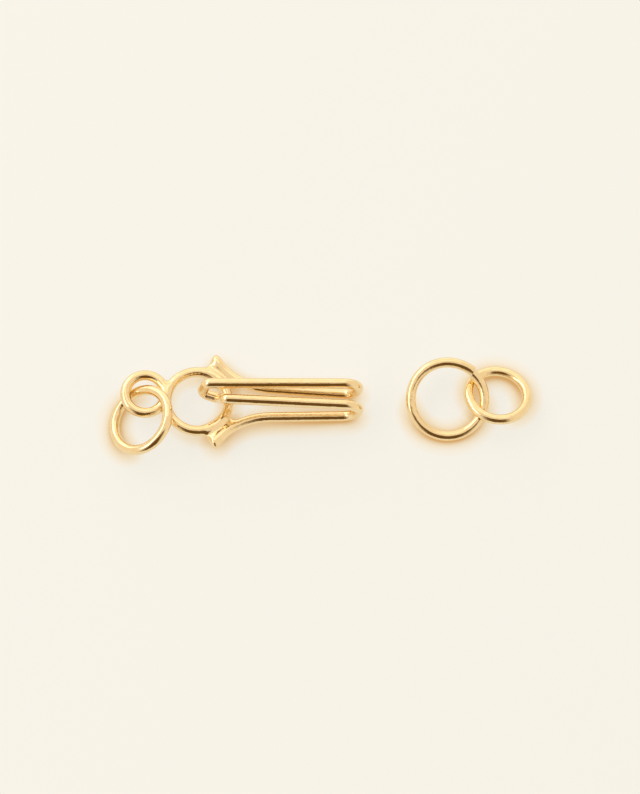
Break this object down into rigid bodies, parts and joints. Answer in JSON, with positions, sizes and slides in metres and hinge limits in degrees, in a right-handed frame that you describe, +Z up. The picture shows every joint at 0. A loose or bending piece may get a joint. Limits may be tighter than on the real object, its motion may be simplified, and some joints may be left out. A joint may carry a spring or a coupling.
{
  "type": "hook and eye clasp",
  "caption": "Hook and eye clasp of polished round gold wire: a doubled wire hook soldered to two rings, a loose jump ring, and a large eye ring with its own jump ring.",
  "frame": {"origin": "middle of the footprint of both halves, on the surface they lie on", "axes": "+X from the hook's jump ring to the eye half, +Y across the clasp, +Z up from the surface"},
  "size_m": [0.0438, 0.011, 0.0057],
  "materials": {
    "gold": "polished gold plate"
  },
  "bodies": {
    "root": {"hook": "gold", "hook_jump_ring": "gold", "eye_ring": "gold", "eye_jump_ring": "gold"}
  },
  "joints": []
}
